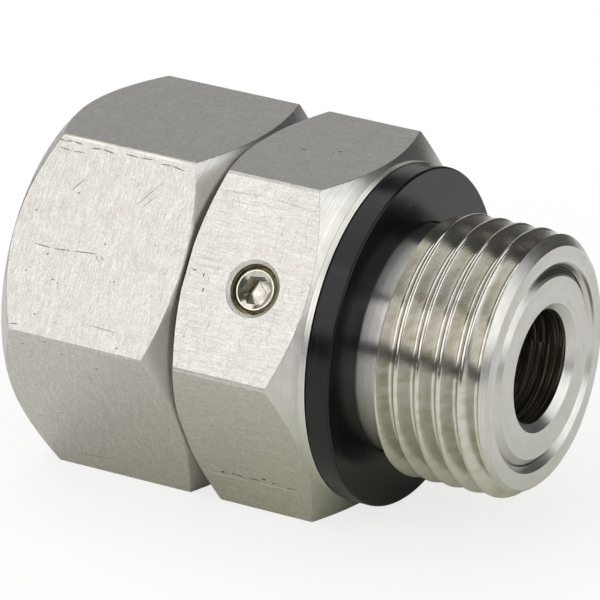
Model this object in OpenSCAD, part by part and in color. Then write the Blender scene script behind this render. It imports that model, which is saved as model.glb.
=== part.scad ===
// In-line swivel joint for half inch pipe thread, with a single ball race.
// The swivel axis is the X axis and the flats above and below are level.
// The origin lies on the axis in the plane of the stud's sealing shoulder.
// The male end points to +X and the female port to -X. All sizes are in millimetres.
// A hollow spindle with the rear hexagon turns in a housing with the front hexagon.
// A ring of balls, filled in through the flat of the housing, locks the two together.

/* [Hexagons] */
// Width across the flats of both hexagons
hex_af = 27; // [25.5:0.1:32]
// Length of the rear hexagon, on the spindle
rear_hex_len = 14.85; // [12:0.05:20]
// Length of the front hexagon, on the housing
front_hex_len = 11.15; // [11.1:0.05:14]
// Air gap between the two hexagons
hex_gap = 0.5; // [0.2:0.05:0.8]
// Length of the corner chamfers on both sides of the gap
gap_chamfer_len = 1.15; // [0.6:0.05:2]
// How far outside the circle of the flats those chamfers meet the end faces
gap_chamfer_spread = 0.1; // [0.05:0.05:0.4]
// Length of the large corner cone at the port end
port_cone_len = 2.05; // [1:0.05:3]
// How far inside the circle of the flats that cone meets the port face
port_cone_inset = 0.1; // [0.05:0.05:0.6]
// Length of the large corner cone at the stud's shoulder
shoulder_cone_len = 1.65; // [1:0.05:3]
// Length of the round land between that cone and the sealing shoulder
shoulder_land_len = 0.5; // [0.2:0.05:1]
// How far the land's edge stands outside the rim of the ring that lies on it
shoulder_margin = 0; // [-0.3:0.05:0.3]

/* [Male stud] */
// Length of the stud from the shoulder to its end face
stud_len = 13.3; // [12.4:0.1:18]
// Outside diameter of the thread, at its crests
thread_d = 20.64; // [20.4:0.02:20.94]
// Diameter of the plain neck behind the thread
neck_d = 17.7; // [17.2:0.1:18.4]
// Length of the neck from the shoulder
neck_len = 3.6; // [2.8:0.1:4.5]
// Length of the cone from the neck up to the first crest
thread_lead_len = 0.8; // [0.4:0.1:1.4]
// Length of the chamfer at the end of the thread
stud_chamfer_len = 1; // [0.6:0.1:1.4]
// How far that chamfer goes down from the thread's crests
stud_chamfer_drop = 0.93; // [0.6:0.01:1.2]

/* [Port seal ring] */
// Outer diameter of the black ring on the shoulder
port_seal_d = 26.4; // [24:0.1:27]
// Thickness of the ring
port_seal_len = 2; // [1.2:0.1:2.6]
// Radial play of the ring on the neck
port_seal_play = 0.05; // [0.02:0.01:0.1]
// Edge break of the ring
port_seal_edge = 0.2; // [0.05:0.01:0.3]

/* [Female port] */
// Diameter of the tapped hole between its thread crests
port_d = 18.631; // [18.5:0.001:18.7]
// How far behind the hexagon's front face the full tapped hole ends
port_floor_setback = 2.5; // [2:0.1:4]
// Diameter of the countersink in the rear face
port_mouth_d = 21.4; // [21:0.1:23]
// Included angle of the drill point at the floor of the port
drill_point_angle = 118; // [110:1:140]

/* [Flow bore] */
// Diameter of the bore through the spindle
flow_d = 8.9; // [7:0.1:9.4]
// Size of the chamfer at the bore's mouth
flow_chamfer = 0.57; // [0.2:0.01:0.9]

/* [Swivel bore] */
// Diameter of the housing's bore that carries the spindle
bore_d = 15.4; // [15.2:0.02:15.7]
// Radial running clearance of the spindle in that bore
run_clearance = 0.06; // [0.04:0.01:0.09]
// Chamfer at the front mouth of the bore
bore_mouth_chamfer = 0.45; // [0.2:0.05:0.6]
// Chamfer at the rear mouth of the bore
bore_rear_chamfer = 0.4; // [0.2:0.05:0.6]
// Chamfer on the spindle's nose
nose_chamfer = 0.57; // [0.3:0.01:0.8]
// Depth of the relief at the root of the spindle, behind the rear bearing land
root_relief_depth = 0.3; // [0.1:0.05:0.5]
// Length of that relief
root_relief_len = 0.75; // [0.4:0.05:1]

/* [Ball race] */
// Diameter of one ball
ball_d = 3; // [2.8:0.05:3.1]
// Smallest gap between two neighbouring balls
ball_gap = 0.1; // [0.05:0.01:0.4]
// Turn of the first ball from the filling hole, about the swivel axis
ball_turn = 3; // [0:0.5:24]
// Distance of the race behind the shoulder
race_setback = 5.35; // [5:0.05:5.6]
// How much larger the groove's radius is than the ball's
race_clearance = 0.1; // [0.05:0.01:0.14]

/* [Ball plug] */
// Diameter of the set screw that closes the filling hole
plug_d = 4; // [3.6:0.05:4.2]
// Radial play between the set screw and its hole
plug_play = 0.02; // [0.01:0.01:0.05]
// How far the screw's outer end lies below the flat
plug_recess = 0.45; // [0.3:0.05:0.9]
// Width across the flats of the screw's socket
plug_socket_af = 2.1; // [1.5:0.1:2.2]
// Turn of the socket's corners from the swivel axis, as the screw was left
plug_socket_turn = 9; // [0:1:59]
// Depth of the socket
plug_socket_depth = 1.8; // [1.2:0.1:2.2]
// Chamfer at both ends of the screw
plug_chamfer = 0.45; // [0.1:0.05:0.5]
// Diameter of the countersink round the filling hole
plug_countersink_d = 4.5; // [4.2:0.05:5]
// Turn of the filling hole from the top flat, about the swivel axis
plug_turn = 60; // [60:60:300]
// Distance of the filling hole from the middle of its flat
plug_off_centre = 0.5; // [0:0.05:0.8]

/* [Spindle seals] */
// Distance of the seal gland ahead of the shoulder
gland_start = 1; // [0.4:0.1:3]
// Depth of the seal gland below the housing's bore
gland_depth = 1.45; // [1.3:0.05:1.6]
// Width of the seated O-ring
o_ring_len = 2; // [1.8:0.1:2.4]
// Width of each backup ring
backup_len = 1.1; // [0.8:0.1:1.4]
// Width of the scarf cut that lets a backup ring be slipped on
backup_cut = 0.25; // [0.15:0.05:0.4]
// Slant of that cut from the ring's axis
backup_cut_angle = 50; // [30:5:60]
// Axial play between neighbouring rings in the gland
gland_play = 0.05; // [0.02:0.01:0.15]
// Clearance of the seated rings at the groove's floor and at the housing's bore
ring_clearance = 0.03; // [0.02:0.01:0.06]
// Corner radius of the seated O-rings
ring_corner = 0.5; // [0.2:0.05:0.55]

/* [Dust seal] */
// Distance of the dust seal's groove from the front hexagon's rear face
dust_setback = 0.9; // [0.7:0.05:1.1]
// Width of the dust seal's groove
dust_groove_len = 1.8; // [1.6:0.05:2]
// Depth of the groove below the housing's bore
dust_depth = 1.25; // [1.15:0.05:1.4]

/* [Hidden] */
bore_r = bore_d / 2;
stem_r = bore_r - run_clearance;
race_x = -race_setback;
race_r = bore_r - run_clearance / 2;
// As many balls as fill the circle that their centres run on
ball_count = floor(180 / asin((ball_d + ball_gap) / (2 * race_r)));
$fn = 96;
steel = "#b9b7af";
bright_steel = "#d8d8d6";
screw_steel = "#a8a498";
black_rubber = "#2f2f31";
white_ptfe = "#e8e6df";
// Tools cut this far past the face that they open
past = 1;
hex_corner_r = hex_af / 2 / cos(30);
gap_face_r = hex_af / 2 + gap_chamfer_spread;
shoulder_r = port_seal_d / 2 + shoulder_margin;
front_hex_x = -front_hex_len;
rear_hex_front_x = front_hex_x - hex_gap;
rear_x = rear_hex_front_x - rear_hex_len;
groove_r = ball_d / 2 + race_clearance;
thread_start_x = neck_len + thread_lead_len;
thread_end_x = stud_len - stud_chamfer_len;
port_floor_x = rear_hex_front_x - port_floor_setback;
drill_slope = 1 / tan(drill_point_angle / 2);
plug_tip_r = race_r + groove_r;
plug_len = hex_af / 2 - plug_recess - plug_tip_r;
plug_hole_r = plug_d / 2 + plug_play;
gland_len = 2 * backup_len + o_ring_len + 4 * gland_play;
gland_floor_r = bore_r - gland_depth;
gland_end_x = gland_start + gland_len;
dust_start_x = front_hex_x + dust_setback;
dust_end_x = dust_start_x + dust_groove_len;
dust_floor_r = bore_r - dust_depth;

function ball_name(i) = str("ball_", i < 10 ? "0" : "", i);

// Turns a profile of [radius, x] points about the swivel axis.
module turned(points) {
    rotate([0, 90, 0])
        rotate_extrude()
            polygon(points);
}

// Hexagonal bar along the swivel axis, with level flats above and below.
module hex_bar(x_start, x_end) {
    translate([x_start, 0, 0])
        rotate([0, 90, 0])
            rotate([0, 0, 30])
                cylinder(r = hex_corner_r, h = x_end - x_start, $fn = 6);
}

// Hexagon whose corners are turned off by a cone at each end.
// A cone runs from the face radius to the corner over its length, and on past the corner.
// The end may have a round land of the face radius in front of its cone.
module chamfered_hex(x_start, x_end, start_face_r, start_len, end_face_r, end_len, end_land = 0) {
    outer_r = hex_corner_r + past;
    start_rise = start_len / (hex_corner_r - start_face_r);
    end_rise = end_len / (hex_corner_r - end_face_r);
    cone_end_x = x_end - end_land;
    intersection() {
        hex_bar(x_start, x_end);
        turned(concat(
            [
                [0, x_start],
                [start_face_r, x_start],
                [outer_r, x_start + start_rise * (outer_r - start_face_r)],
                [outer_r, cone_end_x - end_rise * (outer_r - end_face_r)],
                [end_face_r, cone_end_x],
            ],
            end_land > 0 ? [[end_face_r, x_end]] : [],
            [[0, x_end]]
        ));
    }
}

// Torus about the swivel axis that cuts one half of the ball race.
module race_groove() {
    translate([race_x, 0, 0])
        rotate([0, 90, 0])
            rotate_extrude()
                translate([race_r, 0])
                    circle(r = groove_r);
}

// Moves a shape from the Z axis to the filling hole's axis.
module at_filling_hole() {
    translate([race_x, 0, 0])
        rotate([plug_turn, 0, 0])
            translate([0, -plug_off_centre, 0])
                children();
}

// Ring with a rounded section, as a seated O-ring has.
module rounded_ring(x_start, len, inner_r, outer_r, corner) {
    rotate([0, 90, 0])
        rotate_extrude()
            translate([inner_r, x_start]) {
                translate([corner, 0])
                    square([outer_r - inner_r - 2 * corner, len]);
                translate([0, corner])
                    square([outer_r - inner_r, len - 2 * corner]);
                for (r = [corner, outer_r - inner_r - corner], x = [corner, len - corner])
                    translate([r, x])
                        circle(r = corner);
            }
}

// Solid outline of the neck, the thread at its crests and the end chamfer.
module stud_outline() {
    turned([
        [0, -past],
        [neck_d / 2, -past],
        [neck_d / 2, neck_len],
        [thread_d / 2, thread_start_x],
        [thread_d / 2, thread_end_x],
        [thread_d / 2 - stud_chamfer_drop, stud_len],
        [0, stud_len],
    ]);
}

// Front hexagon, shoulder and threaded stud in one piece.
module housing() {
    color(steel)
        difference() {
            union() {
                chamfered_hex(
                    front_hex_x, 0,
                    gap_face_r, gap_chamfer_len,
                    shoulder_r, shoulder_cone_len, shoulder_land_len
                );
                stud_outline();
            }
            turned([
                [0, front_hex_x - past],
                [bore_r + bore_rear_chamfer + past, front_hex_x - past],
                [bore_r, front_hex_x + bore_rear_chamfer],
                [bore_r, stud_len - bore_mouth_chamfer],
                [bore_r + bore_mouth_chamfer + past, stud_len + past],
                [0, stud_len + past],
            ]);
            race_groove();
            at_filling_hole() {
                cylinder(r = plug_hole_r, h = hex_af);
                translate([0, 0, hex_af / 2 - (plug_countersink_d / 2 - plug_hole_r)])
                    cylinder(
                        r1 = plug_hole_r,
                        r2 = plug_countersink_d / 2 + past,
                        h = plug_countersink_d / 2 - plug_hole_r + past
                    );
            }
        }
}

// Socket set screw that closes the filling hole, flush with the race's outer wall.
module ball_plug() {
    color(screw_steel)
        at_filling_hole()
            translate([0, 0, plug_tip_r])
                difference() {
                    rotate_extrude()
                        polygon([
                            [0, 0],
                            [plug_d / 2 - plug_chamfer, 0],
                            [plug_d / 2, plug_chamfer],
                            [plug_d / 2, plug_len - plug_chamfer],
                            [plug_d / 2 - plug_chamfer, plug_len],
                            [0, plug_len],
                        ]);
                    translate([0, 0, plug_len - plug_socket_depth])
                        rotate([0, 0, plug_socket_turn])
                            cylinder(
                                r = plug_socket_af / 2 / cos(30),
                                h = plug_socket_depth + past,
                                $fn = 6
                            );
                }
}

// Flat black ring that seals the stud's shoulder against a port.
module port_seal() {
    inner_r = neck_d / 2 + port_seal_play;
    outer_r = port_seal_d / 2;
    color(black_rubber)
        turned([
            [inner_r, port_seal_edge],
            [inner_r + port_seal_edge, 0],
            [outer_r - port_seal_edge, 0],
            [outer_r, port_seal_edge],
            [outer_r, port_seal_len - port_seal_edge],
            [outer_r - port_seal_edge, port_seal_len],
            [inner_r + port_seal_edge, port_seal_len],
            [inner_r, port_seal_len - port_seal_edge],
        ]);
}

// Stem of the spindle with the relief at its root and the grooves of its seals.
module stem_outline() {
    relief_r = stem_r - root_relief_depth;
    relief_end_x = rear_hex_front_x + root_relief_len;
    turned([
        [0, rear_hex_front_x - past],
        [relief_r, rear_hex_front_x - past],
        [relief_r, relief_end_x],
        [stem_r, relief_end_x],
        [stem_r, dust_start_x],
        [dust_floor_r, dust_start_x],
        [dust_floor_r, dust_end_x],
        [stem_r, dust_end_x],
        [stem_r, gland_start],
        [gland_floor_r, gland_start],
        [gland_floor_r, gland_end_x],
        [stem_r, gland_end_x],
        [stem_r, stud_len - nose_chamfer],
        [stem_r - nose_chamfer, stud_len],
        [0, stud_len],
    ]);
}

// Rear hexagon with its tapped port and the hollow stem in one piece.
module spindle() {
    mouth_r = port_mouth_d / 2;
    port_r = port_d / 2;
    flow_r = flow_d / 2;
    color(steel)
        difference() {
            union() {
                chamfered_hex(
                    rear_x, rear_hex_front_x,
                    hex_af / 2 - port_cone_inset, port_cone_len,
                    gap_face_r, gap_chamfer_len
                );
                stem_outline();
            }
            turned([
                [0, rear_x - past],
                [mouth_r + past, rear_x - past],
                [port_r, rear_x + mouth_r - port_r],
                [port_r, port_floor_x],
                [flow_r, port_floor_x + drill_slope * (port_r - flow_r)],
                [flow_r, stud_len - flow_chamfer],
                [flow_r + flow_chamfer + past, stud_len + past],
                [0, stud_len + past],
            ]);
            race_groove();
        }
}

// O-ring that holds the pressure between the stem and the bore.
module seal_o_ring() {
    color(black_rubber)
        rounded_ring(
            gland_start + backup_len + 2 * gland_play,
            o_ring_len,
            gland_floor_r + ring_clearance,
            bore_r - ring_clearance,
            ring_corner
        );
}

// Flat backup ring beside the O-ring, with a slanting cut through it.
module backup_ring(x_start) {
    inner_r = gland_floor_r + ring_clearance;
    outer_r = bore_r - ring_clearance;
    color(white_ptfe)
        difference() {
            turned([
                [inner_r, x_start],
                [outer_r, x_start],
                [outer_r, x_start + backup_len],
                [inner_r, x_start + backup_len],
            ]);
            translate([x_start + backup_len / 2, 0, (inner_r + outer_r) / 2])
                rotate([0, 0, backup_cut_angle])
                    cube([backup_len * 4, backup_cut, gland_depth * 2], center = true);
        }
}

// Backup ring on the side of the ball race.
module backup_ring_rear() {
    backup_ring(gland_start + gland_play);
}

// Backup ring on the side of the stud's end.
module backup_ring_front() {
    backup_ring(gland_end_x - gland_play - backup_len);
}

// Small O-ring that keeps dirt out of the race.
module dust_o_ring() {
    color(black_rubber)
        rounded_ring(
            dust_start_x + gland_play,
            dust_groove_len - 2 * gland_play,
            dust_floor_r + ring_clearance,
            bore_r - ring_clearance,
            ring_corner
        );
}

// One ball of the race, counted round the axis from the filling hole.
module ball(i) {
    color(bright_steel)
        translate([race_x, 0, 0])
            rotate([plug_turn + ball_turn + 360 / ball_count * (i - 1), 0, 0])
                translate([0, 0, race_r])
                    sphere(d = ball_d);
}

housing();
ball_plug();
port_seal();
spindle();
seal_o_ring();
backup_ring_rear();
backup_ring_front();
dust_o_ring();
for (i = [1:ball_count])
    ball(i);
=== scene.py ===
"""Dresses the in-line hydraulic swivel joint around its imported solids.

The swivel axis is the X axis, the male stud points to +X, and the joint lies on a flat of its hexagons.
Sizes in the classes are millimetres, as on a drawing. Meshes are made in metres.
"""

import logging
import math
from collections.abc import Iterator, Mapping, Sequence
from contextlib import contextmanager
from dataclasses import dataclass, field, replace
from enum import Enum
from itertools import pairwise
from typing import Any

import bpy
from mathutils import Matrix, Vector


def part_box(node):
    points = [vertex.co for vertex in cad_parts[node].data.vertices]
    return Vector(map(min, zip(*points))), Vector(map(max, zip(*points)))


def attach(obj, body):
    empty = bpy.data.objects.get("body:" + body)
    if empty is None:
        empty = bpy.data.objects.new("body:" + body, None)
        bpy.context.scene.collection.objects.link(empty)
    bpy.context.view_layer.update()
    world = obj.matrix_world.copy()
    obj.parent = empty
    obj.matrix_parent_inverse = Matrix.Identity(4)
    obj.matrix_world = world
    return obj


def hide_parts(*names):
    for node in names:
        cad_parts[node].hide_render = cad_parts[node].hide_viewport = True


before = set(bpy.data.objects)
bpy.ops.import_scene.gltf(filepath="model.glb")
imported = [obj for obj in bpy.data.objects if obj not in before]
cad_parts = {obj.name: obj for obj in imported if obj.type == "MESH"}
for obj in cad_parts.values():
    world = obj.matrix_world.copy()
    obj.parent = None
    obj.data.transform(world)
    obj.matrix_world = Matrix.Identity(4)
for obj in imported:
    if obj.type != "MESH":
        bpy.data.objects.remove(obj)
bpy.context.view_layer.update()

log = logging.getLogger("swivel_joint")

MM = 0.001
FULL_TURN = 2 * math.pi
TURNING_STEPS = 144
THREAD_STEPS = 128
SMALL_STEPS = 64
MERGE_DISTANCE = 0.002 * MM
SAW_THRESHOLD = 0.0001 * MM
SMOOTH_ANGLE = math.radians(32)
PAST = 1.0
ENDLESS = 10000.0
WHITE = (1, 1, 1, 1)

Piece = bpy.types.Object
Material = bpy.types.Material
Node = bpy.types.Node
Socket = bpy.types.NodeSocket
Point = tuple[float, float]
Extent = tuple[float, float, float]
Stroke = tuple[Point, Point, float]


class Cut(Enum):
    """How a tool changes the piece that it is used on."""

    JOIN = "UNION"
    REMOVE = "DIFFERENCE"
    KEEP_COMMON = "INTERSECT"


def take_up(piece: Piece) -> None:
    """Makes a piece the only selected one and the active one.

    Args:
        piece: The piece to work on next.
    """
    bpy.ops.object.select_all(action="DESELECT")
    piece.select_set(True)
    bpy.context.view_layer.objects.active = piece


@contextmanager
def edit_mode(piece: Piece) -> Iterator[None]:
    """Opens a piece in edit mode with everything in it selected, and leaves edit mode at the end.

    Args:
        piece: The piece to edit.

    Yields:
        Nothing; the edit operators act on the piece.
    """
    take_up(piece)
    bpy.ops.object.mode_set(mode="EDIT")
    bpy.ops.mesh.select_all(action="SELECT")
    try:
        yield
    finally:
        bpy.ops.object.mode_set(mode="OBJECT")


def close_skin() -> None:
    """Merges doubles of the mesh in edit mode and turns all of its faces outwards."""
    bpy.ops.mesh.select_all(action="SELECT")
    bpy.ops.mesh.remove_doubles(threshold=MERGE_DISTANCE)
    bpy.ops.mesh.normals_make_consistent(inside=False)


def finish_modifier(piece: Piece, modifier: bpy.types.Modifier) -> None:
    """Applies a modifier for good.

    Args:
        piece: The piece that carries it.
        modifier: The modifier to apply.
    """
    take_up(piece)
    bpy.ops.object.modifier_apply(modifier=modifier.name)


def settle(piece: Piece, place: Matrix) -> None:
    """Moves a piece and makes that its own shape, so that it stays at the origin and unrotated.

    Args:
        piece: The piece to move.
        place: Where it goes.
    """
    take_up(piece)
    piece.matrix_world = place
    bpy.ops.object.transform_apply(location=True, rotation=True, scale=True)


def use_tool(piece: Piece, tool: Piece, cut: Cut) -> None:
    """Joins a tool to a piece, or cuts the piece with it; the cut faces take the tool's finish.

    Args:
        piece: The piece that changes.
        tool: The closed shape that is used up.
        cut: Whether it joins, removes or keeps what both share.
    """
    modifier = piece.modifiers.new(tool.name, "BOOLEAN")
    modifier.object = tool
    modifier.operation = cut.value
    modifier.solver = "EXACT"
    modifier.material_mode = "TRANSFER"
    finish_modifier(piece, modifier)
    bpy.data.objects.remove(tool)


def arc(centre: Point, radius: float, start: float, end: float, segments: int) -> list[Point]:
    """Gives the points of an arc in the plane of the swivel axis and the radius.

    Args:
        centre: Centre as (x, radius).
        radius: Radius of the arc.
        start: Start angle in degrees, from +X towards larger radii.
        end: End angle in degrees.
        segments: Number of straight stretches.

    Returns:
        The points from start to end, both included.
    """
    step = math.radians(end - start) / segments
    angles = [math.radians(start) + step * i for i in range(segments + 1)]
    return [(centre[0] + radius * math.cos(a), centre[1] + radius * math.sin(a)) for a in angles]


def trace(name: str, outline: Sequence[Point]) -> Piece:
    """Draws an outline by extruding one vertex from point to point.

    Args:
        name: Name of the new wire.
        outline: Points as (x, radius); the radius lies along +Y.

    Returns:
        The wire.
    """
    places = [Vector((x, radius, 0)) * MM for x, radius in outline]
    bpy.ops.mesh.primitive_plane_add(size=MM, location=(0, 0, 0))
    wire = bpy.context.object
    wire.name = name
    with edit_mode(wire):
        bpy.ops.mesh.merge(type="CENTER")
        bpy.ops.transform.translate(value=places[0])
        for here, there in pairwise(places):
            bpy.ops.mesh.extrude_region_move(TRANSFORM_OT_translate={"value": there - here})
    return wire


def turn(name: str, outline: Sequence[Point], finish: Material, steps: int = TURNING_STEPS) -> Piece:
    """Turns an outline about the swivel axis, as on a lathe.

    Args:
        name: Name of the new piece.
        outline: Points as (x, radius), open from axis to axis or closed off the axis.
        finish: Material of the turned faces.
        steps: Number of flats round the axis.

    Returns:
        The closed turned piece.
    """
    piece = trace(name, outline)
    with edit_mode(piece):
        bpy.ops.mesh.spin(steps=steps, angle=FULL_TURN, center=(0, 0, 0), axis=(1, 0, 0))
        close_skin()
    piece.data.materials.append(finish)
    return piece


def prism(name: str, ends: Point, across_flats: float, turned_by: float, finish: Material) -> Piece:
    """Makes a plain hexagonal prism along the swivel axis.

    Args:
        name: Name of the new piece.
        ends: Places of its start and its end.
        across_flats: Width across the flats.
        turned_by: Turn about the axis in degrees; at 0 two flats are level.
        finish: Material of its faces.

    Returns:
        The prism.
    """
    corner_r = across_flats / 2 / math.cos(math.radians(30))
    bpy.ops.mesh.primitive_cylinder_add(vertices=6, radius=corner_r * MM, depth=(ends[1] - ends[0]) * MM)
    piece = bpy.context.object
    piece.name = name
    lying = Matrix.Rotation(math.radians(turned_by), 4, "X") @ Matrix.Rotation(math.radians(90), 4, "Y")
    settle(piece, Matrix.Translation((sum(ends) / 2 * MM, 0, 0)) @ lying)
    piece.data.materials.append(finish)
    return piece


def hexagonal_bar(name: str, ends: Point, across_flats: float, edge: float, finish: Material) -> Piece:
    """Cuts a length of hexagonal bar along the swivel axis, with its long edges rounded.

    Args:
        name: Name of the new piece.
        ends: Places of its start and its end.
        across_flats: Width across the flats; two of them are level.
        edge: Width of the rounding of the long edges.
        finish: Material of the drawn flats.

    Returns:
        The bar.
    """
    bar = prism(name, ends, across_flats, 0, finish)
    for part in (*bar.data.vertices, *bar.data.polygons):
        part.select = False
    for side in bar.data.edges:
        near, far = (bar.data.vertices[i].co for i in side.vertices)
        side.select = abs(near.x - far.x) > (ends[1] - ends[0]) / 2 * MM
    bpy.ops.object.mode_set(mode="EDIT")
    bpy.ops.mesh.select_mode(type="EDGE")
    bpy.ops.mesh.bevel(offset=edge * MM, segments=3, affect="EDGES")
    bpy.ops.mesh.select_mode(type="VERT")
    bpy.ops.object.mode_set(mode="OBJECT")
    return bar


def span(node: str) -> Point:
    """Gives where a CAD node starts and ends along the swivel axis.

    Args:
        node: Name of the node.

    Returns:
        Its start and its end.
    """
    low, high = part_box(node)
    return low.x / MM, high.x / MM


def break_edges(piece: Piece, width: float) -> None:
    """Rounds every sharp edge of a piece a little, as tumbling does.

    Args:
        piece: The piece to deburr.
        width: Width of the rounding.
    """
    modifier = piece.modifiers.new("broken edges", "BEVEL")
    modifier.width = width * MM
    modifier.segments = 2
    modifier.limit_method = "ANGLE"
    modifier.angle_limit = math.radians(30)
    modifier.use_clamp_overlap = False
    finish_modifier(piece, modifier)


def smooth(piece: Piece) -> None:
    """Shades a piece smooth across shallow edges, with its large faces kept flat.

    Args:
        piece: The piece whose mesh is final.
    """
    take_up(piece)
    bpy.ops.object.shade_smooth_by_angle(angle=SMOOTH_ANGLE)
    modifier = piece.modifiers.new("flat faces stay flat", "WEIGHTED_NORMAL")
    modifier.keep_sharp = True
    finish_modifier(piece, modifier)


@dataclass(frozen=True)
class RoundedThread:
    """A parallel right-hand thread whose crests and roots are rounded alike.

    Attributes:
        crest_r: Radius over the crests.
        pitch: Distance from crest to crest.
        flank_angle: Lean of a flank from the plane across the axis, in degrees.
        rounding_share: Radius of the rounding as a share of the pitch.
        crest_x: Place where a crest crosses the +Y side.
        steps: Number of flats round the axis.
        arc_segments: Straight stretches in half a crest or root.
    """

    crest_r: float
    pitch: float = 25.4 / 14
    flank_angle: float = 27.5
    rounding_share: float = 0.137329
    crest_x: float = 0.0
    steps: int = THREAD_STEPS
    arc_segments: int = 4

    @property
    def root_r(self) -> float:
        """Radius at the bottom of the thread."""
        flank = math.radians(self.flank_angle)
        sharp_depth = self.pitch / 2 / math.tan(flank)
        rounded_off = self.rounding_share * self.pitch * (1 / math.sin(flank) - 1)
        return self.crest_r - sharp_depth + 2 * rounded_off

    def one_pitch(self, x_start: float) -> list[Point]:
        """Gives the thread's outline from one root to the next.

        Args:
            x_start: Place of the first root.

        Returns:
            The points as (x, radius).
        """
        rounding = self.rounding_share * self.pitch
        root_height = self.root_r + rounding
        crest = (x_start + self.pitch / 2, self.crest_r - rounding)
        flank = self.flank_angle
        return [
            *arc((x_start, root_height), rounding, -90, -flank, self.arc_segments),
            *arc(crest, rounding, 180 - flank, flank, 2 * self.arc_segments),
            *arc((x_start + self.pitch, root_height), rounding, flank - 180, -90, self.arc_segments),
        ]

    def rod(self, name: str, x_start: float, x_end: float, finish: Material) -> Piece:
        """Makes a threaded rod with flat ends.

        Args:
            name: Name of the new piece.
            x_start: Flat end towards -X.
            x_end: Flat end towards +X.
            finish: Material of the thread.

        Returns:
            The closed rod.
        """
        first_root = self.crest_x - self.pitch / 2
        turns_back = math.ceil((first_root - x_start) / self.pitch) + 2
        start = first_root - turns_back * self.pitch
        piece = trace(name, self.one_pitch(start))
        modifier = piece.modifiers.new("turns", "SCREW")
        modifier.axis = "X"
        modifier.angle = FULL_TURN
        modifier.screw_offset = self.pitch * MM
        modifier.iterations = math.ceil((x_end - start) / self.pitch) + 1
        modifier.steps = self.steps
        modifier.render_steps = self.steps
        finish_modifier(piece, modifier)
        with edit_mode(piece):
            bpy.ops.mesh.remove_doubles(threshold=MERGE_DISTANCE)
            saw = {"plane_no": (1, 0, 0), "use_fill": True, "threshold": SAW_THRESHOLD}
            bpy.ops.mesh.bisect(plane_co=(x_start * MM, 0, 0), clear_inner=True, **saw)
            bpy.ops.mesh.select_all(action="SELECT")
            bpy.ops.mesh.bisect(plane_co=(x_end * MM, 0, 0), clear_outer=True, **saw)
            close_skin()
        piece.data.materials.append(finish)
        return piece


def linear(colour: str) -> tuple[float, float, float, float]:
    """Turns an sRGB hex colour to linear values.

    Args:
        colour: Such as "#b4b2aa".

    Returns:
        Red, green, blue and alpha, linear.
    """
    channels = [int(colour[i : i + 2], 16) / 255 for i in (1, 3, 5)]
    red, green, blue = [c / 12.92 if c <= 0.04045 else ((c + 0.055) / 1.055) ** 2.4 for c in channels]
    return red, green, blue, 1.0


def add_node(
    tree: bpy.types.NodeTree, kind: str, inputs: Mapping[Any, Any] | None = None, **settings: Any
) -> Node:
    """Adds a node with its settings and its inputs.

    Args:
        tree: The node tree that gets the node.
        kind: Type name of the node.
        inputs: Values by socket name or number; a socket as a value is linked.
        settings: Attributes of the node.

    Returns:
        The node.
    """
    node = tree.nodes.new(kind)
    for name, value in settings.items():
        setattr(node, name, value)
    for name, value in (inputs or {}).items():
        if isinstance(value, Socket):
            tree.links.new(value, node.inputs[name])
        else:
            node.inputs[name].default_value = value
    return node


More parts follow.
